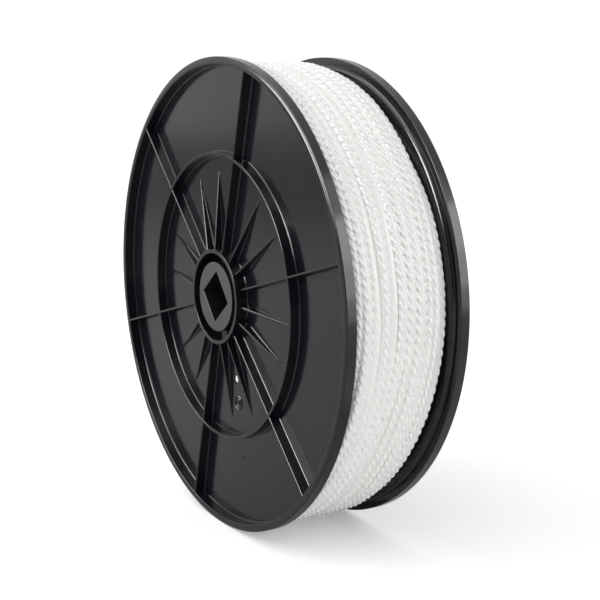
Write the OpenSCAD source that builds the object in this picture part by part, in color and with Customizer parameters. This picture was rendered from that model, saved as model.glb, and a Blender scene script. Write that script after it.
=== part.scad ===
// Cord reel: two ribbed plastic flanges on a barrel, keyed square drive bushes and a braided cord.
// The reel's axis lies along Y and its origin is the middle of that axis, with the reel on its rims.

/* [Reel] */
// Diameter of the flanges
flange_d = 280; // [240:1:320]
// Width between the outer planes of the two rims
reel_w = 78.6; // [70:0.1:110]

/* [Flange] */
// Thickness from the rim plane to the cord side of the web
flange_t = 8.9; // [8.9:0.1:11]
// Depth of the web's outer face below the rim plane, at the hub
web_depth_hub = 5.4; // [4.6:0.1:5.6]
// Depth of the web's outer face below the rim plane, at the rim
web_depth_rim = 6.7; // [5.6:0.1:7]
// Length of the rim's outer cylinder
rim_len = 6.3; // [5:0.1:6.3]
// Thickness of the rim wall at its edge
rim_t = 4.3; // [3.7:0.1:6]
// Radius of the hollow corner between web and rim
rim_root_r = 2.5; // [2:0.5:5]
// Width of the step behind the rim, on the cord side
ledge_w = 4; // [3:0.1:4.6]
// Radius of the round corner on the cord side
web_edge_r = 2.6; // [1:0.1:2.6]

/* [Ribs] */
// Number of full ribs from hub to rim
rib_count = 6; // [3:1:8]
// Gussets between two full ribs
gussets_between = 2; // [1:1:3]
// Angle of the first full rib
first_rib_deg = 15.5; // [0:0.5:59]
// Thickness of ribs and gussets
rib_t = 1.6; // [1.2:0.1:2.5]
// Radius at which the gussets run out
gusset_tip_r = 74; // [50:1:80]
// Outer diameter of the ring rib
ring_d = 170.6; // [165:0.1:200]
// Thickness of the ring rib
ring_t = 2; // [1.5:0.1:3]

/* [Hub] */
// Outer diameter of the hub ring
hub_d = 56.6; // [54.6:0.1:62]
// Bore of the hub ring
hub_bore_d = 52; // [50:0.1:52]
// Stand of the hub ring beyond the rim plane
hub_stand = 2; // [1:0.1:3]
// Depth at which the hub tube ends, below the rim plane
hub_tube_end = 31; // [24:0.5:35]
// Start hole for the cord
start_hole_d = 6; // [5:0.1:7]
// Distance of the start hole from the axis
start_hole_r = 50; // [50:0.1:52]
// Angle of the start hole
start_hole_deg = 284; // [282:1:288]

/* [Drive bush] */
// Diameter of the bush's nose
nose_d = 41.6; // [38:0.1:44]
// Stand of the nose beyond the rim plane
nose_stand = 1; // [0:0.1:2]
// Depth of the open groove round the nose
groove_depth = 15; // [10:0.5:20]
// Side of the square drive hole
drive_square = 22; // [18:0.1:24]
// Angle of one corner of the square hole
square_corner_deg = -6; // [-45:1:45]
// Width of the key across the groove
key_w = 7; // [4:0.5:9]
// Angle of the key
key_deg = 276; // [262:1:284]
// Depth of the key's face below the rim plane
key_depth = 3.5; // [2:0.5:8]

/* [Barrel] */
// Outer diameter of the barrel
barrel_d = 92; // [84:0.5:92]
// Wall thickness of the barrel
barrel_t = 3; // [2:0.1:4]
// Length of the spigots that centre the barrel
spigot_len = 10; // [6:0.5:14]

/* [Cord] */
// Thickness of the cord
cord_d = 6.2; // [5:0.1:6.2]
// Radius of the centre line of the outer layer
wind_r = 133.3; // [100:0.1:133.3]
// Rows in the outer layer
rows = 9; // [4:1:9]
// Part of each row over which the cord steps across to the next one
step_share = 0.2; // [0.1:0.05:0.5]
// Angle at which the outer layer starts
wind_start_deg = 200; // [90:1:270]
// Bend radius of the cord's tucked ends
tuck_r = 6.5; // [6:0.5:9]

/* [Hidden] */
$fn = 96;

plastic_black = [0.10, 0.10, 0.11];
bush_grey = [0.22, 0.22, 0.23];
cord_white = [0.94, 0.94, 0.92];

// Cut-outs and joining overlaps run this far past a face
past = 1;
// Radial play of the barrel on its spigots and of the bush in its hub
play = 0.05;
// Play between the cord and the webs
side_gap = 0.3;

flange_r = flange_d / 2;
rim_in_r = flange_r - rim_t;
ledge_r = flange_r - ledge_w;
hub_r = hub_d / 2;
bore_r = hub_bore_d / 2;
ring_r = ring_d / 2;
nose_r = nose_d / 2;
barrel_r = barrel_d / 2;
barrel_in_r = barrel_r - barrel_t;
spigot_r = barrel_in_r - play;
spigot_t = 2.5;
cord_r = cord_d / 2;
inner_w = reel_w - 2 * flange_t;
spoke_step = 360 / (rib_count * (gussets_between + 1));
arc_steps = 6;

// Depth of the web's outer face at radius r
function web_depth(r) =
    web_depth_hub + (web_depth_rim - web_depth_hub) * (r - hub_r) / (rim_in_r - hub_r);

// Points of an arc in the section plane
function arc(cx, cz, r, from, to) =
    [for (i = [0:arc_steps])
        let (a = from + (to - from) * i / arc_steps)
        [cx + r * cos(a), cz + r * sin(a)]];

// Section of the flange: radius from the axis, height above the rim plane
flange_section = concat(
    [[bore_r, hub_stand], [hub_r, hub_stand], [hub_r, -web_depth_hub]],
    arc(rim_in_r - rim_root_r, rim_root_r - web_depth_rim, rim_root_r, -90, 0),
    [[rim_in_r, 0], [flange_r, 0], [flange_r, -rim_len], [ledge_r, -rim_len]],
    arc(ledge_r - web_edge_r, web_edge_r - flange_t, web_edge_r, 0, -90),
    [[spigot_r, -flange_t], [spigot_r, -flange_t - spigot_len],
     [spigot_r - spigot_t, -flange_t - spigot_len], [spigot_r - spigot_t, -flange_t],
     [hub_r, -flange_t], [hub_r, -hub_tube_end], [bore_r, -hub_tube_end]]);

// Centre line of the outer layer: out of the core, round the reel, back into the core
rings_per_turn = 24;
tuck_steps = 4;
tube_sides = 6;
wind_y = inner_w / 2 - cord_r - side_gap;
row_pitch = 2 * wind_y / (rows - 1);
// The last row stops short of the step that leads into it
last_ring = (rows - 1) * rings_per_turn + floor((1 - step_share) * rings_per_turn) - 1;
wind_first_deg = wind_start_deg + 360 / rings_per_turn;
wind_end_deg = wind_start_deg + 360 * last_ring / rings_per_turn;
tuck_floor_r = wind_r - tuck_r - cord_d;
chord_sag = wind_r * (1 - cos(180 / rings_per_turn));
core_r = wind_r - chord_sag - cord_r - 0.2;
core_w = inner_w - 2 * side_gap;
tuck_w = cord_d + 1;

// Directions square to the axis: outward, and forward along the turn
function out_dir(a) = [cos(a), 0, sin(a)];
function along_dir(a) = [-sin(a), 0, cos(a)];

// A point by its height along out_dir(a), its way along along_dir(a), and y
function at(a, out, along, y) = out * out_dir(a) + along * along_dir(a) + [0, y, 0];

// A tucked end at angle a; side is -1 before the turns and 1 after them
function tuck(a, side, y) = concat(
    [for (i = [1:tuck_steps])
        let (b = 90 * i / tuck_steps)
        at(a, wind_r - tuck_r + tuck_r * cos(b), side * tuck_r * sin(b), y)],
    [at(a, tuck_floor_r, side * tuck_r, y)]);

function reversed(list) = [for (i = [len(list) - 1:-1:0]) list[i]];

// Place along the axis after t turns: level rows, with a slanted step at the end of each
function row_y(t) =
    let (way = (t - floor(t) - 1 + step_share) / step_share)
    -wind_y + row_pitch * (floor(t) + max(0, way));

turn_points = [for (i = [1:last_ring])
    let (t = i / rings_per_turn)
    at(wind_start_deg + 360 * t, wind_r, 0, row_y(t))];
wind_path = concat(
    reversed(tuck(wind_first_deg, -1, -wind_y)),
    turn_points,
    tuck(wind_end_deg, 1, wind_y));

// Least gap between points of the path that are half a turn or more apart
least_gap = min([for (i = [0:len(wind_path) - 1], j = [i + rings_per_turn / 2:1:len(wind_path) - 1])
    norm(wind_path[i] - wind_path[j])]) - cord_d;
echo(least_gap_of_winding_mm = least_gap);

function unit(v) = v / norm(v);

// One ring of the tube round point i of a path; its flats face the neighbouring turns
function tube_ring(path, i) =
    let (
        last = len(path) - 1,
        forward = unit(path[min(i + 1, last)] - path[max(i - 1, 0)]),
        side = unit([0, 1, 0] - forward[1] * forward),
        up = cross(forward, side))
    [for (k = [0:tube_sides - 1])
        let (a = 360 * (k + 0.5) / tube_sides)
        path[i] + cord_r * (cos(a) * side + sin(a) * up)];

// A closed tube of triangles along a path
module tube(path) {
    count = len(path);
    n = tube_sides;
    points = [for (i = [0:count - 1]) each tube_ring(path, i)];
    skin = [for (i = [0:count - 2], k = [0:n - 1])
        let (a = i * n + k, b = i * n + (k + 1) % n)
        each [[a, a + n, b], [b, a + n, b + n]]];
    start_cap = [for (k = [1:n - 2]) [0, k, k + 1]];
    end_base = (count - 1) * n;
    end_cap = [for (k = [1:n - 2]) [end_base, end_base + k + 1, end_base + k]];
    polyhedron(points, concat(skin, start_cap, end_cap));
}

// Places a piece whose local Z points out of the reel's front, with its zero in the rim plane
module on_front() {
    translate([0, -reel_w / 2, 0])
        rotate([90, 0, 0])
        children();
}

// The same on the rear: the front turned half a turn about Z, and then about the reel's axis
// until both square holes line up
module on_rear() {
    rotate([0, 2 * square_corner_deg, 180])
        on_front()
        children();
}

// A plate on edge, cut from the polygon of radius and height, at angle a
module spoke(a, outline) {
    rotate([90, 0, a])
        linear_extrude(height = rib_t, center = true)
        polygon(outline);
}

module full_rib(a) {
    spoke(a, [
        [hub_r - past, -web_depth_rim - past], [hub_r - past, 0],
        [rim_in_r + past, 0], [rim_in_r + past, -rim_len + past],
        [rim_in_r - rim_root_r, -web_depth_rim - past]]);
}

module gusset(a) {
    spoke(a, [
        [hub_r - past, -web_depth_rim - past], [hub_r - past, 0], [hub_r, 0],
        [gusset_tip_r, -web_depth(gusset_tip_r)], [gusset_tip_r, -web_depth_rim - past]]);
}

module ring_rib() {
    rotate_extrude()
        translate([ring_r - ring_t, -web_depth_rim - past])
        square([ring_t, web_depth_rim + past]);
}

module flange() {
    difference() {
        union() {
            rotate_extrude()
                polygon(flange_section);
            ring_rib();
            for (i = [0:rib_count * (gussets_between + 1) - 1]) {
                a = first_rib_deg + i * spoke_step;
                if (i % (gussets_between + 1) == 0)
                    full_rib(a);
                else
                    gusset(a);
            }
        }
        rotate(start_hole_deg)
            translate([start_hole_r, 0, -flange_t - past])
            cylinder(d = start_hole_d, h = flange_t + past);
    }
}

module drive_bush() {
    difference() {
        union() {
            translate([0, 0, -groove_depth - past])
                cylinder(r = nose_r, h = groove_depth + past + nose_stand);
            translate([0, 0, -hub_tube_end])
                cylinder(r = bore_r - play, h = hub_tube_end - groove_depth);
            intersection() {
                rotate(key_deg)
                    translate([nose_r - past, -key_w / 2, -groove_depth - past])
                    cube([bore_r, key_w, groove_depth + past - key_depth]);
                translate([0, 0, -hub_tube_end])
                    cylinder(r = bore_r - play, h = hub_tube_end);
            }
        }
        rotate(square_corner_deg + 45)
            translate([-drive_square / 2, -drive_square / 2, -hub_tube_end - past])
            cube([drive_square, drive_square, hub_tube_end + nose_stand + 2 * past]);
    }
}

// The notch in the core that a tucked end goes down into
module tuck_notch(a, side, y) {
    translate([0, y, 0])
        rotate([0, -a, 0])
        translate([tuck_floor_r, -tuck_w / 2, side > 0 ? 0 : -tuck_r - cord_r - past])
        cube([wind_r - tuck_floor_r, tuck_w, tuck_r + cord_r + past]);
}

module front_flange() {
    color(plastic_black)
        on_front()
        flange();
}

module rear_flange() {
    color(plastic_black)
        on_rear()
        flange();
}

module barrel() {
    color(plastic_black)
        rotate([90, 0, 0])
        difference() {
            cylinder(r = barrel_r, h = inner_w, center = true);
            cylinder(r = barrel_in_r, h = inner_w + 2 * past, center = true);
        }
}

module front_drive_bush() {
    color(bush_grey)
        on_front()
        drive_bush();
}

module rear_drive_bush() {
    color(bush_grey)
        on_rear()
        drive_bush();
}

// Where the cord's inner end stops, below the rim plane, and how far it reaches into the core
start_face_depth = web_depth(start_hole_r) + 2;
start_in_core = 10;
core_face_depth = flange_t + side_gap;

module cord_core() {
    color(cord_white)
        difference() {
            rotate([90, 0, 0])
                cylinder(r = core_r, h = core_w, center = true);
            rotate([90, 0, 0])
                cylinder(r = barrel_r + play, h = inner_w, center = true);
            tuck_notch(wind_first_deg, -1, -wind_y);
            tuck_notch(wind_end_deg, 1, wind_y);
            on_front()
                rotate(start_hole_deg)
                translate([start_hole_r, 0, -core_face_depth - start_in_core])
                cylinder(d = start_hole_d, h = start_in_core + past);
        }
}

module cord_winding() {
    color(cord_white)
        tube(wind_path);
}

module cord_start() {
    color(cord_white)
        on_front()
        rotate(start_hole_deg)
        translate([start_hole_r, 0, -core_face_depth - start_in_core])
        cylinder(d = start_hole_d - 0.6, h = core_face_depth + start_in_core - start_face_depth);
}

front_flange();
rear_flange();
barrel();
front_drive_bush();
rear_drive_bush();
cord_core();
cord_winding();
cord_start();
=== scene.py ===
# %% [markdown]
# # A reel of braided cord
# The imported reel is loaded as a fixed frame: every piece below is modelled in the same metres and
# the same axes, so it lands where the plain solids say. The reel's axis lies along Y, the front
# flange is at minus Y, and the reel stands on its rims.

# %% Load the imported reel
import math

import bpy
import numpy as np
from mathutils import Matrix, Vector


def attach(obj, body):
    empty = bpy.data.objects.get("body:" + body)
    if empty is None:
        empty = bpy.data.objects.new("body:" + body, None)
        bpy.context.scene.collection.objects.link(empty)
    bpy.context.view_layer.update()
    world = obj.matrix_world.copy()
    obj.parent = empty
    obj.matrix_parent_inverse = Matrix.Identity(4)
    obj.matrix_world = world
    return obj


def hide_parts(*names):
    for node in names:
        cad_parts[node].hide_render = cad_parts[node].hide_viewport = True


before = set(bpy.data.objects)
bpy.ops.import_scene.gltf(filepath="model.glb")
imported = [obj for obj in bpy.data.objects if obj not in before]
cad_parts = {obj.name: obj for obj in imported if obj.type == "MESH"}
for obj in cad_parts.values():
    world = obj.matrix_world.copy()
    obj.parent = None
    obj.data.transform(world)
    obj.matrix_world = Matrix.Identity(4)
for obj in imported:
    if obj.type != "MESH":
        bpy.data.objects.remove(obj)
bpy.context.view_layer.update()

MM = 0.001
print("nodes:", sorted(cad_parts))

# %% [markdown]
# ## The camera
# The camera looks at the front flange from its right, ten degrees above the axis. A lens of about
# 74 mm from three quarters of a metre gives the flanges their slight difference in size.

# %% Place the camera
scene = bpy.context.scene
camera_data = bpy.data.cameras.new("camera")
camera_data.lens = 73.63
camera_data.sensor_width = 36
camera_data.clip_start = 0.01
camera = bpy.data.objects.new("camera", camera_data)
camera.location = (0.6387, -0.3698, 0.1269)
camera.rotation_euler = (math.radians(79.81), 0, math.radians(58.7))
scene.collection.objects.link(camera)
scene.camera = camera
print("camera", tuple(round(c, 4) for c in camera.location))

# %% [markdown]
# ## The reel's own measures
# These are the sizes that the plain solids have too, in millimetres. Depths count inward from the
# plane of the front rim, so a mould maker would read them off a depth gauge.

# %% Name the measures
FLANGE_R = 140.0
HALF_W = 39.3
FLANGE_T = 8.9
RIM_IN_R = 135.7
RIM_LEN = 6.3
LEDGE_R = 136.0
HUB_R = 28.3
BORE_R = 26.0
HUB_STAND = 2.0
HUB_END = 31.0
BARREL_R = 46.0
RING_IN_R = 83.3
RING_R = 85.3
SPIGOT_R = 42.95
SPIGOT_IN_R = 40.45
SPIGOT_LEN = 10.0
GUSSET_TIP_R = 74.0
FIRST_RIB_DEG = 15.5
SQUARE = 22.0
SQUARE_DEG = -6.0
START_R = 50.0
START_DEG = 284.0
START_HOLE_R = 3.0
CORD_R = 3.1


def web_depth(r):
    """Depth of the web's outer face at radius r."""
    return 5.4 + 1.3 * (r - HUB_R) / (RIM_IN_R - HUB_R)


REAR_TURN = Matrix.Rotation(math.pi, 4, "Z") @ Matrix.Rotation(math.radians(2 * SQUARE_DEG), 4, "Y")
print("web depth at the ring", round(web_depth(RING_R), 2), "mm")

# %% [markdown]
# ## Modelling helpers
# A turned part is best made as on a lathe: its outline is drawn once and spun round the axis. The
# outline is a circle primitive with one corner for each corner of the section. Vertex bevels round
# the corners, because a moulded part has no sharp ones and the highlights sit on these radii.

# %% Draw, round and spin an outline


def deselect():
    """Leaves nothing selected, so the next operator acts on its own piece alone."""
    if bpy.context.object and bpy.context.object.mode != "OBJECT":
        bpy.ops.object.mode_set(mode="OBJECT")
    bpy.ops.object.select_all(action="DESELECT")


def edit(piece, choose=None):
    """Opens a piece in edit mode with the chosen vertices selected, or all of them."""
    deselect()
    piece.select_set(True)
    bpy.context.view_layer.objects.active = piece
    bpy.ops.object.mode_set(mode="EDIT")
    bpy.ops.mesh.select_mode(type="VERT")
    bpy.ops.mesh.select_all(action="SELECT" if choose is None else "DESELECT")
    if choose is not None:
        bpy.ops.object.mode_set(mode="OBJECT")
        for vertex in piece.data.vertices:
            vertex.select = choose(vertex)
        bpy.ops.object.mode_set(mode="EDIT")


def done():
    """Closes edit mode."""
    bpy.ops.object.mode_set(mode="OBJECT")


def outline(name, corners, fill="NOTHING"):
    """A closed wire with the given corners, each a place in metres."""
    deselect()
    bpy.ops.mesh.primitive_circle_add(vertices=len(corners), radius=1, fill_type=fill)
    wire = bpy.context.object
    wire.name = name
    wire.data.name = name
    for vertex, corner in zip(wire.data.vertices, corners):
        vertex.co = corner
    return wire


def round_corners(wire, places, reach, segments):
    """Rounds the corners at the given places, reaching this far along the edges, in mm."""
    places = [Vector(place) for place in places]
    edit(wire, lambda v: any((v.co - place).length < 1e-6 for place in places))
    bpy.ops.mesh.bevel(offset=reach * MM, segments=segments, affect="VERTICES")
    done()


def section_place(r, depth):
    """A corner of a turned part's section, from its radius and depth in mm."""
    return (r * MM, (depth - HALF_W) * MM, 0)


def spin(wire, steps):
    """Turns an outline once round the reel's axis into a closed shell."""
    edit(wire)
    bpy.ops.mesh.spin(steps=steps, angle=math.tau, center=(0, 0, 0), axis=(0, 1, 0))
    bpy.ops.mesh.select_all(action="SELECT")
    bpy.ops.mesh.remove_doubles(threshold=1e-7)
    bpy.ops.mesh.normals_make_consistent(inside=False)
    done()


def turned(name, section, steps):
    """A turned part: section is a list of (radius, depth, rounding reach, segments)."""
    wire = outline(name, [section_place(r, d) for r, d, reach, segments in section])
    for size in sorted({(reach, segments) for r, d, reach, segments in section if reach}):
        places = [section_place(r, d) for r, d, reach, segments in section if (reach, segments) == size]
        round_corners(wire, places, *size)
    spin(wire, steps)
    return wire


def at_angle(piece, name, degrees):
    """A copy of a piece with its own mesh, turned round the reel's axis, seen from the front."""
    copy = bpy.data.objects.new(name, piece.data.copy())
    copy.data.transform(Matrix.Rotation(-math.radians(degrees), 4, "Y"))
    scene.collection.objects.link(copy)
    return copy


def joined(pieces, name):
    """One object from several."""
    deselect()
    for piece in pieces:
        piece.select_set(True)
    bpy.context.view_layer.objects.active = pieces[0]
    bpy.ops.object.join()
    pieces[0].name = name
    pieces[0].data.name = name
    return pieces[0]


def smooth(piece, degrees=35):
    """Smooth shading that keeps flat faces flat beside their small radii."""
    deselect()
    piece.select_set(True)
    bpy.context.view_layer.objects.active = piece
    bpy.ops.object.shade_smooth_by_angle(angle=math.radians(degrees))
    modifier = piece.modifiers.new("flat faces lead", "WEIGHTED_NORMAL")
    modifier.keep_sharp = True
    modifier.weight = 80
    bpy.ops.object.modifier_apply(modifier=modifier.name)


def triangles(piece):
    """How many triangles a piece has."""
    return sum(len(p.vertices) - 2 for p in piece.data.polygons)


# %% [markdown]
# ## The flanges
# Each flange is one moulding: hub tube, conical web, ring rib, rim, and a short spigot behind that
# centres the barrel. All of this is one turned section. The face of the rim falls away by a fifth
# of a millimetre toward its edge, and that slope carries the thin light line along the rim. The
# numbers after each radius and depth are the reach of the rounding and its steps.

# %% Turn the flange's disc
LIP_FALL_R = 138.2
flange_section = [
    (BORE_R, -HUB_STAND, 0.3, 3),
    (HUB_R, -HUB_STAND, 0.3, 3),
    (HUB_R, web_depth(HUB_R), 0.8, 4),
    (RING_IN_R, web_depth(RING_IN_R), 0.7, 4),
    (RING_IN_R + 0.1, 0, 0.5, 4),
    (RING_R - 0.1, 0, 0.45, 4),
    (RING_R, web_depth(RING_R), 0.9, 5),
    (RIM_IN_R, web_depth(RIM_IN_R), 0.9, 4),
    (RIM_IN_R, 0.05, 0.45, 3),
    (LIP_FALL_R, 0, 0.2, 2),
    (LIP_FALL_R + 0.7, 0.19, 0.2, 2),
    (FLANGE_R, 0.22, 0.6, 4),
    (FLANGE_R, RIM_LEN, 0.4, 3),
    (LEDGE_R, RIM_LEN, 0, 0),
    (LEDGE_R, FLANGE_T, 2.5, 6),
    (SPIGOT_R, FLANGE_T, 0, 0),
    (SPIGOT_R, FLANGE_T + SPIGOT_LEN, 0.4, 2),
    (SPIGOT_IN_R, FLANGE_T + SPIGOT_LEN, 0.4, 2),
    (SPIGOT_IN_R, FLANGE_T, 0, 0),
    (HUB_R, FLANGE_T, 0, 0),
    (HUB_R, HUB_END, 0.3, 2),
    (BORE_R, HUB_END, 0.3, 2),
]
disc = turned("front_flange_body", flange_section, 192)
print("disc:", triangles(disc), "triangles")

# %% [markdown]
# ### Ribs and gussets
# A moulded rib has a little draft, a rounded top and a small hollow radius at its root, which
# carries the soft light line along each rib. One rib and one gusset are drawn as a cross-section,
# extruded outward and copied round the hub. The gusset's far end is moved down into the web, and
# the foot of each end slants back so that it stays inside the rim.

# %% Extrude one rib and one gusset
SPOKE_FROM_R = 27.4
END_SLANT = 1.5


def spoke(name, r_to, top_to):
    """A rib along X whose top runs from the rim plane to the depth top_to at its far end."""
    r_from = SPOKE_FROM_R
    near = web_depth(r_from) + 0.03
    far = web_depth(r_to) + 0.03
    half = [(0.68, 0.04, 0.45), (0.84, near, 0.8), (2.0, near, 0), (2.0, near + 0.8, 0)]
    corners = [(side * t, d, reach) for side in (1, -1) for t, d, reach in half[::side]]
    place = {c: (r_from * MM, (c[1] - HALF_W) * MM, c[0] * MM) for c in corners}
    wire = outline(name, [place[c] for c in corners], fill="NGON")
    for reach in (0.45, 0.8):
        round_corners(wire, [place[c] for c in corners if c[2] == reach], reach, 3)
    edit(wire)
    bpy.ops.mesh.extrude_region_move(TRANSFORM_OT_translate={"value": ((r_to - r_from) * MM, 0, 0)})
    done()
    lowest = near + 0.4
    for vertex in wire.data.vertices:
        if vertex.co.x > (r_from + 1) * MM:
            depth = vertex.co.y / MM + HALF_W
            share = min(1, depth / near)
            moved = top_to + (far - top_to) * share if depth < lowest else depth + 1
            vertex.co.y = (moved - HALF_W) * MM
            if share > 0.7:
                vertex.co.x -= END_SLANT * MM
    edit(wire)
    bpy.ops.mesh.normals_make_consistent(inside=False)
    done()
    return wire


rib = spoke("rib", RIM_IN_R + 1.5, 0.04)
gusset = spoke("gusset", GUSSET_TIP_R, web_depth(GUSSET_TIP_R) + 0.04)
print("rib:", triangles(rib), "gusset:", triangles(gusset))

# %% Copy them round the hub
spokes = []
for i in range(18):
    source = gusset if i % 3 else rib
    spokes.append(at_angle(source, f"spoke_{i}", FIRST_RIB_DEG + 20 * i))
for source in (rib, gusset):
    bpy.data.objects.remove(source)
print("spokes:", len(spokes))

# %% [markdown]
# ### Small marks of the mould
# The web carries two plain raised rings round a dot, and the small pip of a gate. They are shallow,
# but each catches the light as a fine line.

# %% Raise the ring mark and the pip


def mark(name, r, degrees, radius, thickness):
    """A low ring that stands on the web."""
    deselect()
    bpy.ops.mesh.primitive_torus_add(
        major_radius=radius * MM, minor_radius=thickness * MM, major_segments=48, minor_segments=8
    )
    ring = bpy.context.object
    ring.name = name
    ring.data.transform(Matrix.Rotation(math.pi / 2, 4, "X"))
    ring.data.transform(Matrix.Translation((r * MM, (web_depth(r) - HALF_W) * MM, 0)))
    ring.data.transform(Matrix.Rotation(-math.radians(degrees), 4, "Y"))
    return ring


def pip(name, r, degrees, radius, stand):
    """A low round button on the web."""
    deselect()
    bpy.ops.mesh.primitive_cylinder_add(vertices=32, radius=radius * MM, depth=2 * stand * MM)
    button = bpy.context.object
    button.name = name
    edit(button)
    bpy.ops.mesh.bevel(offset=0.4 * stand * MM, segments=3, affect="EDGES")
    done()
    button.data.transform(Matrix.Rotation(math.pi / 2, 4, "X"))
    button.data.transform(Matrix.Translation((r * MM, (web_depth(r) - HALF_W) * MM, 0)))
    button.data.transform(Matrix.Rotation(-math.radians(degrees), 4, "Y"))
    return button


MARK_R = 64.0
marks = [
    mark("ring_mark", MARK_R, START_DEG, 4.1, 0.5),
    mark("ring_mark_inner", MARK_R, START_DEG, 2.2, 0.3),
    pip("ring_dot", MARK_R, START_DEG, 1.0, 0.45),
    pip("gate_pip", 97, 282, 1.1, 0.5),
]
print("marks:", len(marks))

# %% [markdown]
# ### The start hole
# The cord's inner end is pushed out through a small round hole in the web, which keeps it from
# slipping when the winding starts. The hole is cut with a boolean before the ribs are joined on.

# %% Cut the start hole
deselect()
bpy.ops.mesh.primitive_cylinder_add(vertices=40, radius=START_HOLE_R * MM, depth=30 * MM)
drill = bpy.context.object
drill.data.transform(Matrix.Rotation(math.pi / 2, 4, "X"))
drill.data.transform(Matrix.Translation((START_R * MM, -HALF_W * MM, 0)))
drill.data.transform(Matrix.Rotation(-math.radians(START_DEG), 4, "Y"))
deselect()
disc.select_set(True)
bpy.context.view_layer.objects.active = disc
cut = disc.modifiers.new("start hole", "BOOLEAN")
cut.operation = "DIFFERENCE"
cut.solver = "EXACT"
cut.object = drill
bpy.ops.object.modifier_apply(modifier=cut.name)
bpy.data.objects.remove(drill)
print("disc with its hole:", triangles(disc), "triangles")

# %% Join the front flange and turn a copy of it to the rear
front = joined([disc] + spokes + marks, "front_flange_body")
smooth(front)
rear = bpy.data.objects.new("rear_flange_body", front.data.copy())
rear.data.name = "rear_flange_body"
rear.data.transform(REAR_TURN)
scene.collection.objects.link(rear)
print("flange:", triangles(front), "triangles")

# %% [markdown]
# ## The drive bushes
# In each hub sits a bush with a square hole for the spindle, an open ring groove round its nose and
# a key across the groove. It is a stack of closed loops, round ones and square ones with the same
# number of points, and bridging each loop to the next makes its walls without a boolean.

# %% Lay out the loops of the bush
LOOP_POINTS = 96


def round_loop(r, depth):
    """Points of a circle round the axis."""
    turn = math.tau / LOOP_POINTS
    return [(r * math.cos(i * turn), depth, r * math.sin(i * turn)) for i in range(LOOP_POINTS)]


def square_loop(side, corner, depth):
    """Points of a square with rounded corners, its first corner on the X axis."""
    half = side / 2 - corner
    points = []
    for quarter in range(4):
        middle = math.pi / 2 * quarter
        cx = half * math.sqrt(2) * math.cos(middle)
        cz = half * math.sqrt(2) * math.sin(middle)
        for i in range(-4, 5):
            a = middle + math.pi / 4 * i / 4
            points.append((cx + corner * math.cos(a), depth, cz + corner * math.sin(a)))
        after = middle + math.pi / 4
        for i in range(1, 16):
            along = half * (2 * i / 16 - 1)
            out = side / 2
            x = out * math.cos(after) - along * math.sin(after)
            z = out * math.sin(after) + along * math.cos(after)
            points.append((x, depth, z))
    shift = 4
    return points[shift:] + points[:shift]


NOSE_R = 20.8
LAND_R = BORE_R - 0.05
GROOVE_END = 15.0
NOSE_FACE = -0.75
bush_loops = [
    square_loop(SQUARE, 0.8, HUB_END),
    square_loop(SQUARE, 0.8, -0.7),
    square_loop(SQUARE + 0.5, 1.05, -1.0),
    round_loop(NOSE_R - 0.5, -1.0),
    round_loop(NOSE_R - 0.15, -0.85),
    round_loop(NOSE_R, -0.5),
    round_loop(NOSE_R, GROOVE_END - 0.8),
    round_loop(NOSE_R + 0.8, GROOVE_END),
    round_loop(LAND_R, GROOVE_END),
    round_loop(LAND_R, HUB_END),
]
print("loops:", len(bush_loops), "of", LOOP_POINTS, "points")

# %% Bridge the loops


def bridged(name, loops):
    """A closed shell from loops of equal length, the last one bridged to the first."""
    wires = []
    for i, loop in enumerate(loops):
        corners = [(x * MM, (d - HALF_W) * MM, z * MM) for x, d, z in loop]
        wires.append(outline(f"{name}_{i}", corners))
    shell = joined(wires, name)
    for i in range(len(loops)):
        pair = {i, (i + 1) % len(loops)}
        edit(shell, lambda v: v.index // LOOP_POINTS in pair)
        bpy.ops.mesh.bridge_edge_loops()
        done()
    edit(shell)
    bpy.ops.mesh.normals_make_consistent(inside=False)
    done()
    return shell


bush = bridged("front_bush_body", bush_loops)
bush.data.transform(Matrix.Rotation(-math.radians(SQUARE_DEG), 4, "Y"))
print("bush:", triangles(bush), "triangles")

# %% Add the key across the groove
KEY_DEG = 276
deselect()
bpy.ops.mesh.primitive_cube_add(size=1)
key = bpy.context.object
key.name = "key"
for vertex in key.data.vertices:
    x = NOSE_R - 0.8 if vertex.co.x < 0 else LAND_R - 0.05
    depth = 3.5 if vertex.co.y < 0 else GROOVE_END + 0.5
    z = 7.0 * vertex.co.z
    vertex.co = (x * MM, (depth - HALF_W) * MM, z * MM)
edit(key)
bpy.ops.mesh.bevel(offset=0.35 * MM, segments=3, affect="EDGES")
done()
key.data.transform(Matrix.Rotation(-math.radians(KEY_DEG), 4, "Y"))
front_bush = joined([bush, key], "front_bush_body")
smooth(front_bush)
grained = front_bush.data.attributes.new("grained", "FLOAT", "FACE")
for polygon in front_bush.data.polygons:
    face_depth = polygon.center.y / MM + HALF_W
    grained.data[polygon.index].value = 1 if face_depth < NOSE_FACE else 0
rear_bush = bpy.data.objects.new("rear_bush_body", front_bush.data.copy())
rear_bush.data.name = "rear_bush_body"
rear_bush.data.transform(REAR_TURN)
scene.collection.objects.link(rear_bush)
print("bush with key:", triangles(front_bush), "triangles")

# %% [markdown]
# ## The cord
# The cord is a braid of eight strands, wound in level rows. In each turn it steps across to the
# next row in the same short band. No row lies quite at the height of its neighbours, which is what
# makes a real winding look uneven, and some rows are pulled tighter, so their stitches are flatter.
# The path of the centre line comes first; the braid is then laid on it stitch by stitch.

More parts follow.
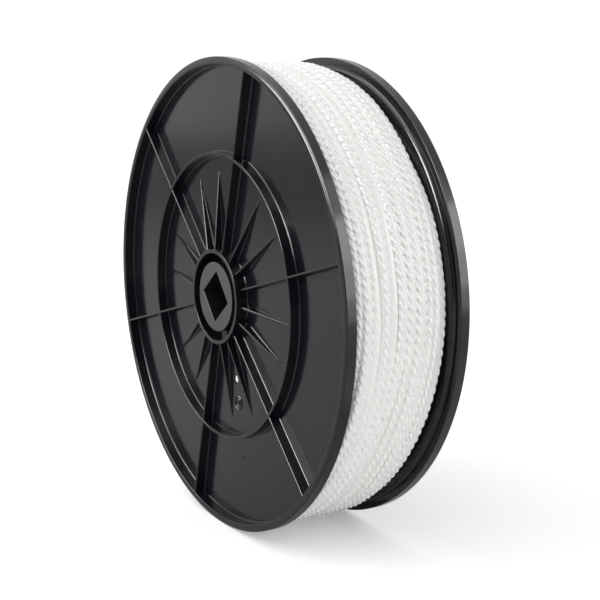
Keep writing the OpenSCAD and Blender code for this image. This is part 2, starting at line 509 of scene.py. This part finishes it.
# %% Wind the path
ROW_DEPTHS = np.array([12.1, 16.0, 21.2, 26.4, 32.0, 37.6, 43.7, 49.6, 55.2, 60.8, 66.2])
ROW_RADII = np.array([132.8, 134.4, 133.7, 134.5, 133.8, 134.4, 134.3, 134.5, 134.1, 132.4, 129.4])
ROW_RELIEF = np.array([0.9, 1, 0.35, 1, 0.4, 1, 0.9, 1, 1, 0.8, 0.6])
ROWS = len(ROW_DEPTHS)
WIND_Y = HALF_W - ROW_DEPTHS[0]
STITCH = 5.45
HALF_STITCH = STITCH / 2
STEP_START = 0.86
START_DIP = 3.4
END_DIP = 5.6
rng = np.random.default_rng(11)


def waves(count, reach):
    """A smooth wandering function of angle, in mm, that closes on itself after a turn."""
    sizes = rng.normal(0, 1, count) / np.arange(1, count + 1) ** 0.6
    phases = rng.uniform(0, math.tau, count)

    def wander(angle):
        total = sum(
            sizes[i] * np.sin((i + 1) * angle + phases[i]) for i in range(count)
        )
        return reach * total

    return wander


shared_lean = waves(5, 0.55)
shared_lean_2 = waves(5, 0.45)
row_leans = [waves(9, 0.3) for row in range(ROWS + 1)]
row_lifts = [waves(7, 0.25) for row in range(ROWS + 1)]


def smoothstep(x):
    """An even S-curve from 0 to 1."""
    x = np.clip(x, 0, 1)
    return x * x * (3 - 2 * x)


def step_share(t):
    """How far the cord has stepped from row floor(t) to the next one."""
    row = np.clip(np.floor(t), 0, ROWS - 1)
    return np.where(t < 0, 0, smoothstep((t - row - STEP_START) / (1 - STEP_START)))


def blended(rows, angle, t):
    """The value of row floor(t) at each angle, eased into the next row's where the cord steps."""
    values = np.array([row(angle) if callable(row) else np.full(len(t), row) for row in rows])
    row = np.clip(np.floor(t).astype(int), 0, len(rows) - 1)
    after = np.minimum(row + 1, len(rows) - 1)
    at = np.arange(len(t))
    return values[row, at] + (values[after, at] - values[row, at]) * step_share(t)


def layer_path(first_turn, last_turn, start_deg, depths, radii, liveliness):
    """Centre line of one layer in mm, with points half a stitch apart along it."""
    t = np.arange(first_turn, last_turn, HALF_STITCH / (math.tau * (radii.mean() - 0.5)))
    angle = t * math.tau + math.radians(start_deg)
    y = blended(depths - HALF_W, angle, t)
    room = np.clip(1 - (y / (WIND_Y + 1.5)) ** 2, 0, 1)
    y = y + room * (shared_lean(angle) + (y / WIND_Y) * shared_lean_2(angle))
    y = y + np.sqrt(room) * blended(row_leans[:len(depths)], angle, t)
    r = blended(radii, angle, t) + liveliness * blended(row_lifts[:len(depths)], angle, t)
    r = r - START_DIP * smoothstep((0.02 - t) / 0.12)
    r = r - END_DIP * smoothstep((t - last_turn + 0.1) / 0.1)
    return np.stack([r * np.cos(angle), y, r * np.sin(angle)], 1)


outer_path = layer_path(-0.3, ROWS - STEP_START, 8, ROW_DEPTHS, ROW_RADII, 1)
between_depths = (ROW_DEPTHS[1:] + ROW_DEPTHS[:-1]) / 2
between_radii = np.minimum(np.maximum(ROW_RADII[1:], ROW_RADII[:-1]), 134) - 4.3
under_path = layer_path(-0.1, ROWS - 0.9, 150, between_depths, between_radii, 0.3)
length = float(np.linalg.norm(np.diff(outer_path, axis=0), axis=1).sum())
print("outer layer:", round(length / 1000, 2), "m of cord")

# %% [markdown]
# ### The braid
# Eight strands go round the cord, four each way. On the outside each strand shows as a short
# slanted stitch, and the stitches run in columns that slant left and right by turns. The strands of
# one direction were laid tighter, so the others stand higher and catch more light. Their colour also
# gets a painted highlight, and the deeper strands and the tube get painted shade. One stitch is a
# small low dome of a few faces; it is bent round the cord and copied along every column. A slimmer
# tube below the stitches closes the valleys between them.

# %% Build tubes and stitches


def frames(path):
    """Forward, sideways and outward directions at each point of a path round the reel."""
    forward = np.gradient(path, axis=0)
    forward /= np.linalg.norm(forward, axis=1)[:, None]
    outward = path * [1, 0, 1]
    outward /= np.linalg.norm(outward, axis=1)[:, None]
    outward -= (outward * forward).sum(1)[:, None] * forward
    outward /= np.linalg.norm(outward, axis=1)[:, None]
    return forward, np.cross(outward, forward), outward


def tube_mesh(path, radius, sides, wide=1.0, high=1.0):
    """Points and faces of a closed tube along a path."""
    forward, sideways, outward = frames(path)
    turn = np.arange(sides) * math.tau / sides
    ring = (
        wide * np.cos(turn)[None, :, None] * sideways[:, None, :]
        + high * np.sin(turn)[None, :, None] * outward[:, None, :]
    )
    points = (path[:, None, :] + radius * ring).reshape(-1, 3)
    count = len(path)
    a = (np.arange(count - 1)[:, None] * sides + np.arange(sides)[None, :]).ravel()
    b = (np.arange(count - 1)[:, None] * sides + (np.arange(sides)[None, :] + 1) % sides).ravel()
    quads = np.stack([a, b, b + sides, a + sides], 1)
    caps = [list(range(sides))[::-1], list(range((count - 1) * sides, count * sides))]
    return points, quads.tolist() + caps


STITCH_U = np.array([-1, -0.72, -0.36, 0, 0.36, 0.72, 1])
STITCH_V = np.array([-1, -0.55, 0, 0.55, 1])
SLANT = math.radians(36)
CORD_WIDE = 1.13
CORD_HIGH = 0.95
TUBE_R = 2.84


def stitch_template():
    """Along, across and height of a stitch's points, and its faces with a hidden flat base."""
    u, v = np.meshgrid(STITCH_U, STITCH_V, indexing="ij")
    rise = np.sqrt(np.clip(1 - 0.97 * u ** 2, 0, 1)) * np.sqrt(np.clip(1 - 0.96 * v ** 2, 0, 1))
    narrow = 1 - 0.35 * u ** 4
    n = len(STITCH_V)
    faces = []
    for i in range(len(STITCH_U) - 1):
        for j in range(n - 1):
            a = i * n + j
            faces.append([a, a + n, a + n + 1, a + 1])
    top = [i * n for i in range(len(STITCH_U))]
    side = [(len(STITCH_U) - 1) * n + j for j in range(1, n)]
    back = [i * n + n - 1 for i in range(len(STITCH_U) - 2, -1, -1)]
    faces.append((top + side + back + [j for j in range(n - 2, 0, -1)])[::-1])
    return u.ravel(), (v * narrow).ravel(), rise.ravel(), faces


def stitches(path, twist, reach_deg, core_r=2.5, crown=0.86, half_long=2.75, half_wide=1.34,
             wide=CORD_WIDE, high=CORD_HIGH, relief=None, lay=0.0):
    """Points, faces, UVs and painted light of all stitches that point outward within reach_deg.

    The painted light is 1 (a painted highlight) for strands that stand higher, -1 (painted shade) for
    the others, and 0 where lay is 0.
    """
    u, v, rise, faces = stitch_template()
    forward, sideways, outward = frames(path)
    centres, sides, senses = [], [], []
    count = len(path)
    for column in range(8):
        even = column % 2
        index = np.arange(even, count - 1, 2)
        turn = column * math.tau / 8 + twist[index]
        off = np.abs((turn + math.pi) % math.tau - math.pi)
        keep = off < math.radians(reach_deg)
        centres.append(index[keep])
        sides.append(turn[keep])
        senses.append(np.full(int(keep.sum()), 1 if even else -1))
    index = np.concatenate(centres)
    turn = np.concatenate(sides)
    sense = np.concatenate(senses)
    loose = rng.normal(0, 1, (len(index), 4))
    slant = SLANT - 0.12 * lay * sense + 0.05 * loose[:, 0]
    long = half_long * (1 + 0.08 * lay * sense + 0.04 * loose[:, 1])
    height = crown * (1 + 0.38 * lay * sense + 0.09 * loose[:, 2])
    if relief is not None:
        height = height * relief[index]
    cos, sin = np.cos(slant), sense * np.sin(slant)
    along = u[None] * (long * cos)[:, None] - sin[:, None] * v * half_wide
    around = (long * sin)[:, None] * u[None] + cos[:, None] * v * half_wide
    phi = turn[:, None] + around / CORD_R
    rho = core_r + height[:, None] * rise[None]
    f, s, o = forward[index], sideways[index], outward[index]
    points = (
        path[index][:, None, :]
        + along[:, :, None] * f[:, None, :]
        + (wide * rho * np.sin(phi))[:, :, None] * s[:, None, :]
        + (high * rho * np.cos(phi))[:, :, None] * o[:, None, :]
    )
    n = len(u)
    all_faces = []
    for base in range(0, len(index) * n, n):
        for face in faces:
            all_faces.append([base + k for k in face])
    uv = np.stack([
        np.tile((side + 1) / 2 * 0.98 + 0.01, len(index)) + np.repeat(rng.integers(0, 40, len(index)), n)
        for side in (u, v)
    ], 1)
    return points.reshape(-1, 3), all_faces, uv, np.repeat(lay * sense, n)


def mesh_piece(name, points, faces, uv, painted_light):
    """An object in metres from points in mm, with a UV and a painted light value for each point."""
    mesh = bpy.data.meshes.new(name)
    mesh.from_pydata((points * MM).tolist(), [], faces)
    layer = mesh.uv_layers.new(name="braid")
    corner = np.zeros(len(mesh.loops), np.int32)
    mesh.loops.foreach_get("vertex_index", corner)
    layer.data.foreach_set("uv", uv[corner].astype(np.float32).ravel())
    # Painted light for each point: a painted highlight on higher strands, painted shade on deeper
    # strands and the tube.
    strand = mesh.attributes.new("painted_light", "FLOAT", "POINT")
    strand.data.foreach_set("value", painted_light.astype(np.float32))
    mesh.polygons.foreach_set("use_smooth", np.ones(len(mesh.polygons), bool))
    mesh.update()
    piece = bpy.data.objects.new(name, mesh)
    scene.collection.objects.link(piece)
    return piece


def braid_piece(name, path, twist, reach_deg, **sizes):
    """A length of braided cord: its inner tube and its stitches in one mesh."""
    points, faces = tube_mesh(path, TUBE_R, 14, CORD_WIDE, CORD_HIGH)
    tube_uv = np.full((len(points), 2), 0.5)
    more, stitch_faces, uv, painted_light = stitches(path, twist, reach_deg, **sizes)
    base = len(points)
    faces = faces + [[base + k for k in face] for face in stitch_faces]
    # The tube below the stitches gets -1, which is painted shade in the valleys between them.
    painted_light = np.concatenate([np.full(base, -1.0), painted_light])
    return mesh_piece(name, np.vstack([points, more]), faces, np.vstack([tube_uv, uv]), painted_light)


def twist_along(count, turns_per_metre):
    """A slow uneven twist of the braid round its own axis."""
    way = np.arange(count) * HALF_STITCH
    drift = sum(
        rng.normal(0, 0.5) * np.sin(way / scale + rng.uniform(0, math.tau))
        for scale in (60, 95, 170, 260)
    )
    return way / 1000 * turns_per_metre * math.tau + drift


# %% Lay the outer layer in four pieces
OUTER_REACH_DEG = 112
UNDER_REACH_DEG = 62
LENGTHS = 4
outer_twist = twist_along(len(outer_path), 0.7)
outer_pieces = []
cuts = np.linspace(0, len(outer_path) - 1, LENGTHS + 1).astype(int)
for i in range(LENGTHS):
    part = slice(cuts[i], cuts[i + 1] + 1)
    relief = np.interp(outer_path[part, 1] + HALF_W, ROW_DEPTHS, ROW_RELIEF)
    piece = braid_piece(
        f"cord_layer_{i + 1}", outer_path[part], outer_twist[part], OUTER_REACH_DEG,
        relief=relief, lay=1,
    )
    outer_pieces.append(piece)
    print(piece.name, triangles(piece), "triangles")

# %% [markdown]
# ### What lies below
# Between the rows of the outer layer the layer under it shows, so that one is laid too, with only
# the stitches that face outward. Deeper layers can't be seen: one turned body with the rounded rows
# of cord on its outside stands for them.

# %% Lay the under layer and the inner body
under_twist = twist_along(len(under_path), -0.7)
middle = len(under_path) // 2
under_pieces = [
    braid_piece(name, under_path[part], under_twist[part], UNDER_REACH_DEG)
    for name, part in (("cord_under_1", slice(middle + 1)), ("cord_under_2", slice(middle, None)))
]
INNER_R = 120.6
inner_r = BARREL_R + 0.1
inner_half = HALF_W - FLANGE_T - 0.3
inner_corners = [(inner_r, HALF_W - inner_half), (INNER_R - 1.6, HALF_W - inner_half)]
for depth in ROW_DEPTHS:
    for i in range(5):
        a = math.pi * (0.12 + 0.76 * i / 4)
        inner_corners.append((INNER_R + CORD_R * math.sin(a), float(depth) - CORD_R * math.cos(a)))
inner_corners += [(INNER_R - 4.6, HALF_W + inner_half), (inner_r, HALF_W + inner_half)]
inner_body = turned("cord_inner_layers", [(r, d, 0, 0) for r, d in inner_corners], 96)
deselect()
inner_body.select_set(True)
bpy.context.view_layer.objects.active = inner_body
bpy.ops.object.shade_smooth_by_angle(angle=math.radians(50))
print("under layers:", [triangles(p) for p in under_pieces], "inner:", triangles(inner_body))

# %% [markdown]
# ### The cord's inner end
# The end that sticks in the start hole is a short straight length of the same braid, cut square.
# Its eight strand ends show as small domes.

# %% Make the cut end
start_angle = math.radians(START_DEG)
start_x = START_R * math.cos(start_angle)
start_z = START_R * math.sin(start_angle)
depths = np.arange(19.0, 7.0, -1.9)
still = np.ones(len(depths))
end_path = np.stack([still * start_x, depths - HALF_W, still * start_z], 1)
end_points, end_faces = tube_mesh(end_path, 2.05, 12)
more, stitch_faces, end_uv, end_painted_light = stitches(
    end_path, still * 0, 181, core_r=2.0, crown=0.55, half_long=1.9, half_wide=1.0, wide=1.0, high=1.0
)
end_faces += [[len(end_points) + k for k in face] for face in stitch_faces]
end_uv = np.vstack([np.full((len(end_points), 2), 0.5), end_uv])
end_painted_light = np.concatenate([np.zeros(len(end_points)), end_painted_light])
cord_end = mesh_piece("cord_end_body", np.vstack([end_points, more]), end_faces, end_uv, end_painted_light)
tufts = []
for i in range(9):
    a = math.tau * i / 8
    out = 0 if i == 8 else 1.62
    deselect()
    bpy.ops.mesh.primitive_ico_sphere_add(subdivisions=2, radius=0.95 * MM)
    tuft = bpy.context.object
    tuft.data.transform(Matrix.Diagonal((1, 0.8, 1, 1)))
    x = start_x + out * math.cos(a)
    z = start_z + out * math.sin(a)
    tuft.data.transform(Matrix.Translation((x * MM, (7.3 - HALF_W) * MM, z * MM)))
    tufts.append(tuft)
cord_end = joined([cord_end] + tufts, "cord_end_body")
deselect()
cord_end.select_set(True)
bpy.context.view_layer.objects.active = cord_end
bpy.ops.object.shade_smooth()
print("cord end:", triangles(cord_end), "triangles")

# %% [markdown]
# ## Finishes
# Shader maths is written as plain expressions: a small class wraps a node's output and overloads
# the operators, and one method adds every other kind of node.

# %% Write a small shader language


class Value:
    """The output of a node, with operators that add Math nodes."""

    def __init__(self, finish, out):
        self.finish = finish
        self.out = out

    def math(self, operation, first, second):
        return self.finish.add("ShaderNodeMath", {"operation": operation}, {0: first, 1: second})

    def __add__(self, other):
        return self.math("ADD", self, other)

    def __radd__(self, other):
        return self.math("ADD", other, self)

    def __rsub__(self, other):
        return self.math("SUBTRACT", other, self)

    def __mul__(self, other):
        return self.math("MULTIPLY", self, other)

    def __rmul__(self, other):
        return self.math("MULTIPLY", other, self)


class Finish:
    """A node tree that is built by adding nodes from their type, settings and sockets."""

    def __init__(self, owner):
        owner.use_nodes = True
        self.tree = owner.node_tree
        self.tree.nodes.clear()

    def add(self, kind, settings=None, sockets=None, out=0):
        """Adds a node, sets it up, fills its sockets and gives the output named or numbered out."""
        node = self.tree.nodes.new(kind)
        for name, value in (settings or {}).items():
            setattr(node, name, value)
        for name, value in (sockets or {}).items():
            if isinstance(value, Value):
                self.tree.links.new(value.out, node.inputs[name])
            else:
                node.inputs[name].default_value = value
        return Value(self, node.outputs[out] if node.outputs else None)


def coordinates(finish, which):
    """The place of a point, as Object, UV or Generated coordinates."""
    return finish.add("ShaderNodeTexCoord", {}, {}, which)


def noise(finish, where, scale, detail=2.0, roughness=0.5):
    """Soft noise between 0 and 1."""
    sockets = {"Vector": where, "Scale": scale, "Detail": detail, "Roughness": roughness}
    return finish.add("ShaderNodeTexNoise", {}, sockets)


def colour_mix(finish, share, first, second):
    """A colour between two others."""
    return finish.add("ShaderNodeMix", {"data_type": "RGBA"}, {0: share, 6: first, 7: second}, 2)


def attribute(finish, name):
    """A number that the mesh carries under this name."""
    return finish.add("ShaderNodeAttribute", {"attribute_name": name}, {}, "Fac")


def ramp(finish, value, low, high, at_low=0.0, at_high=1.0):
    """A straight ramp from at_low to at_high while the value goes from low to high."""
    sockets = {"Value": value, 1: low, 2: high, 3: at_low, 4: at_high}
    return finish.add("ShaderNodeMapRange", {}, sockets)


def reach_along(finish, vector, direction):
    """How far a vector reaches in a direction."""
    settings = {"operation": "DOT_PRODUCT"}
    return finish.add("ShaderNodeVectorMath", settings, {0: vector, 1: direction}, "Value")


# %% [markdown]
# ### Glossy black plastic
# The flanges are polished mouldings: nearly black below, with a clear mirror of the studio on top.
# What makes such a surface believable is that it isn't perfect. It has a faint orange peel, soft
# wide flow marks, and a slightly uneven polish.

# %% Mix the flange plastic


def gloss_plastic():
    """Polished black plastic with orange peel, flow marks and an uneven polish."""
    material = bpy.data.materials.new("glossy_black_plastic")
    f = Finish(material)
    place = coordinates(f, "Object")
    peel = noise(f, place, 420, 2)
    flow = noise(f, place, 22, 3)
    handling = noise(f, place, 60, 5, 0.65)
    colour = colour_mix(f, flow, (0.0040, 0.0042, 0.0062, 1), (0.0074, 0.0078, 0.0112, 1))
    height = peel * 0.35 + flow
    bump = f.add("ShaderNodeBump", {}, {"Strength": 0.05, "Distance": 0.001, "Height": height})
    shader = f.add("ShaderNodeBsdfPrincipled", {}, {
        "Base Color": colour, "Roughness": 0.10 + 0.09 * handling, "IOR": 1.49, "Normal": bump,
    })
    f.add("ShaderNodeOutputMaterial", {}, {"Surface": shader})
    return material


# %% [markdown]
# ### Grained plastic of the bushes
# The face of a bush isn't polished: its mould was eroded by sparks, which leaves a fine even grain.
# Only that face has it, so the mesh marks its faces, and the shader reads that mark.

# %% Mix the bush plastic


def spark_plastic():
    """Dark plastic with the fine grain of a spark-eroded mould."""
    material = bpy.data.materials.new("grained_dark_plastic")
    f = Finish(material)
    place = coordinates(f, "Object")
    nose = attribute(f, "grained")
    grain = noise(f, place, 1300, 2, 0.6)
    cloud = noise(f, place, 90, 3)
    share = grain * 0.6 + cloud * 0.4
    dark = (0.008, 0.008, 0.0085, 1)
    spark = colour_mix(f, share, dark, (0.037, 0.037, 0.039, 1))
    colour = colour_mix(f, nose, dark, spark)
    bump = f.add("ShaderNodeBump", {}, {"Strength": 0.5, "Distance": 0.0002, "Height": grain * nose})
    shader = f.add("ShaderNodeBsdfPrincipled", {}, {
        "Base Color": colour, "Roughness": 0.30 + nose * (0.18 + 0.15 * cloud), "IOR": 1.49,
        "Normal": bump,
    })
    f.add("ShaderNodeOutputMaterial", {}, {"Surface": shader})
    return material


# %% [markdown]
# ### White braid
# Each stitch is a flat bundle of parallel filaments. Fine lines along the stitch come from noise
# that is stretched along its UV, and the tone wanders a little from place to place. Light is also
# painted into the colour: the strands that stand higher get a painted highlight, a shade lighter,
# and the deeper strands and the tube below them get painted shade, a shade darker. The filaments
# give a soft shine, so the roughness is lower than a woven cloth's.

# %% Mix the cord's finish


def braid_finish():
    """White filaments with fine lines along each stitch."""
    material = bpy.data.materials.new("white_braid")
    f = Finish(material)
    uv = coordinates(f, "UV")
    place = coordinates(f, "Object")
    stretched = f.add("ShaderNodeMapping", {}, {"Vector": uv, "Scale": (1.2, 14, 1)})
    lines = noise(f, stretched, 1.0, 2)
    tone = noise(f, place, 160, 3)
    painted_light = attribute(f, "painted_light")
    # The painted light term paints a highlight on higher strands and shade on deeper strands and the
    # tube.
    share = 0.15 + lines * 0.35 + tone * 0.35 + painted_light * 0.22
    colour = colour_mix(f, share, (0.775, 0.773, 0.757, 1), (0.945, 0.943, 0.926, 1))
    bump = f.add("ShaderNodeBump", {}, {"Strength": 0.35, "Distance": 0.0002, "Height": lines})
    shader = f.add("ShaderNodeBsdfPrincipled", {}, {
        "Base Color": colour, "Roughness": 0.24 + 0.12 * tone, "IOR": 1.49, "Normal": bump,
    })
    f.add("ShaderNodeOutputMaterial", {}, {"Surface": shader})
    return material


gloss = gloss_plastic()
spark = spark_plastic()
braid = braid_finish()

# %% Put the finishes on the pieces and let them ride
placed = [
    ([front], gloss, "flange_plastic", "front_flange"),
    ([rear], gloss, "flange_plastic", "rear_flange"),
    ([front_bush], spark, "bush_plastic", "front_drive_bush"),
    ([rear_bush], spark, "bush_plastic", "rear_drive_bush"),
    (outer_pieces, braid, "cord_braid", "cord_winding"),
    (under_pieces + [inner_body], braid, "cord_braid", "cord_core"),
    ([cord_end], braid, "cord_braid", "cord_start"),
]
for pieces, material, slot, node in placed:
    for piece in pieces:
        piece.data.materials.clear()
        piece.data.materials.append(material)
        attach(piece, "root")
        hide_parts(node)
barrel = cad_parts["barrel"]
barrel.data.materials.clear()
barrel.data.materials.append(gloss)
print("pieces:", sum(len(entry[0]) for entry in placed), "and the barrel")

# %% [markdown]
# ## Floor and light
# The reel stands on a plain pale floor under large soft lights. The floor looks white to the camera
# because its finish adds a little glow for camera rays only, so the shadow stays. Polished black
# shows what it mirrors rather than its own colour. So mirrors see a floor painted greyer, with a
# painted falloff of light and two painted lighter areas, some boxes light nothing but reflections,
# and the studio is dim behind the camera.

# %% Lay the floor
FLOOR_Z = -0.1401
deselect()
bpy.ops.mesh.primitive_plane_add(size=12, location=(0, 0, 0))
floor = bpy.context.object
floor.name = "floor"
floor.data.transform(Matrix.Translation((0, 0, FLOOR_Z)))


TO_RIGHT = (0.85, 0.53, 0)


def light_path(finish, which):
    """Whether a ray comes from the camera, or from a glossy surface."""
    return finish.add("ShaderNodeLightPath", {}, {}, which)


def floor_finish():
    """Pale floor that clips to white where no shadow lies; in mirrors it is painted greyer, with painted
    light that falls off with distance and two painted lighter areas.
    """
    material = bpy.data.materials.new("pale_floor")
    f = Finish(material)
    camera_ray = light_path(f, "Is Camera Ray")
    glossy_ray = light_path(f, "Is Glossy Ray")
    place = coordinates(f, "Object")
    reach = f.add("ShaderNodeVectorMath", {"operation": "LENGTH"}, {0: place}, "Value")
    # Seen only in mirrors: painted light that falls off with distance, a painted pool of light to the
    # right, and a painted strip of light just behind the reel.
    near = ramp(f, reach, 0.3, 2.0, 0.52, 0.40)
    painted_pool = ramp(f, reach_along(f, place, TO_RIGHT), 0.2, 0.7, 0.0, 0.42)
    painted_strip = ramp(f, reach_along(f, place, (0, 1, 0)), 0.045, 0.07)
    close = ramp(f, reach, 0.3, 0.5, 0.36, 0.0)
    pale = colour_mix(f, glossy_ray, (0.94, 0.94, 0.94, 1), near + painted_pool + painted_strip * close)
    diffuse = f.add("ShaderNodeBsdfDiffuse", {}, {"Color": pale})
    glow = f.add("ShaderNodeEmission", {}, {"Color": (1, 1, 1, 1), "Strength": camera_ray * 0.27})
    both = f.add("ShaderNodeAddShader", {}, {0: diffuse, 1: glow})
    f.add("ShaderNodeOutputMaterial", {}, {"Surface": both})
    return material


floor.data.materials.append(floor_finish())
print("floor at", FLOOR_Z)

# %% Hang the lights


def soft_box(name, place, size, watts, only=None):
    """A rectangular soft light that faces the reel; it may light only glossy or only diffuse."""
    data = bpy.data.lights.new(name, "AREA")
    data.shape = "RECTANGLE"
    data.size = size[0]
    data.size_y = size[1]
    data.energy = watts
    light = bpy.data.objects.new(name, data)
    light.location = place
    light.rotation_euler = Vector(place).to_track_quat("Z", "Y").to_euler()
    scene.collection.objects.link(light)
    light.visible_camera = False
    light.visible_diffuse = only != "glossy"
    light.visible_glossy = only != "diffuse"
    return light


soft_boxes = (
    ("top_box", (0.35, -0.35, 1.5), (1.2, 1.2), 2.2),
    ("sheen_box", (-0.1, -0.2, 1.5), (1.4, 0.9), 11, "glossy"),
    ("left_box", (-1.0, -1.1, 1.1), (1.2, 1.2), 6),
    ("front_box", (-0.8, -1.2, 0.36), (0.8, 0.4), 13, "glossy"),
    ("high_box", (0.27, -1.09, 0.83), (0.7, 0.7), 32, "glossy"),
    ("fill_box", (1.25, -0.35, 0.12), (1.2, 0.5), 1.1, "diffuse"),
    ("key_box", (-0.6, -1.25, 0.5), (0.8, 0.8), 7, "diffuse"),
)
for entry in soft_boxes:
    soft_box(*entry)

# %% Hang the boxes that the rims mirror, from high to low
EDGE_DISTANCE = 1.5
edge_boxes = (
    ("edge_top", 43, 0.4, 1.3),
    ("edge_high", 26, 0.48, 5.5),
    ("edge_mid", 10, 0.36, 3.0),
    ("edge_low", -5, 0.4, 1.6),
)
for name, rise, tall, watts in edge_boxes:
    flat = EDGE_DISTANCE * math.cos(math.radians(rise))
    up = EDGE_DISTANCE * math.sin(math.radians(rise))
    soft_box(name, (TO_RIGHT[0] * flat, TO_RIGHT[1] * flat, up), (0.75, tall), watts, "glossy")

# %% Light the studio
TO_CAMERA = (0.84, -0.51, 0.18)
world = bpy.data.worlds.new("studio")
scene.world = world
w = Finish(world)
toward = reach_along(w, coordinates(w, "Generated"), TO_CAMERA)
dim = ramp(w, toward, 0.75, 0.92, 0.0, 0.75)
camera_ray = light_path(w, "Is Camera Ray")
glossy_ray = light_path(w, "Is Glossy Ray")
strength = 0.8 + camera_ray * 0.25 + glossy_ray * (0.06 - dim)
background = w.add("ShaderNodeBackground", {}, {"Color": (1, 1, 1, 1), "Strength": strength})
w.add("ShaderNodeOutputWorld", {}, {"Surface": background})
scene.view_settings.view_transform = "Standard"
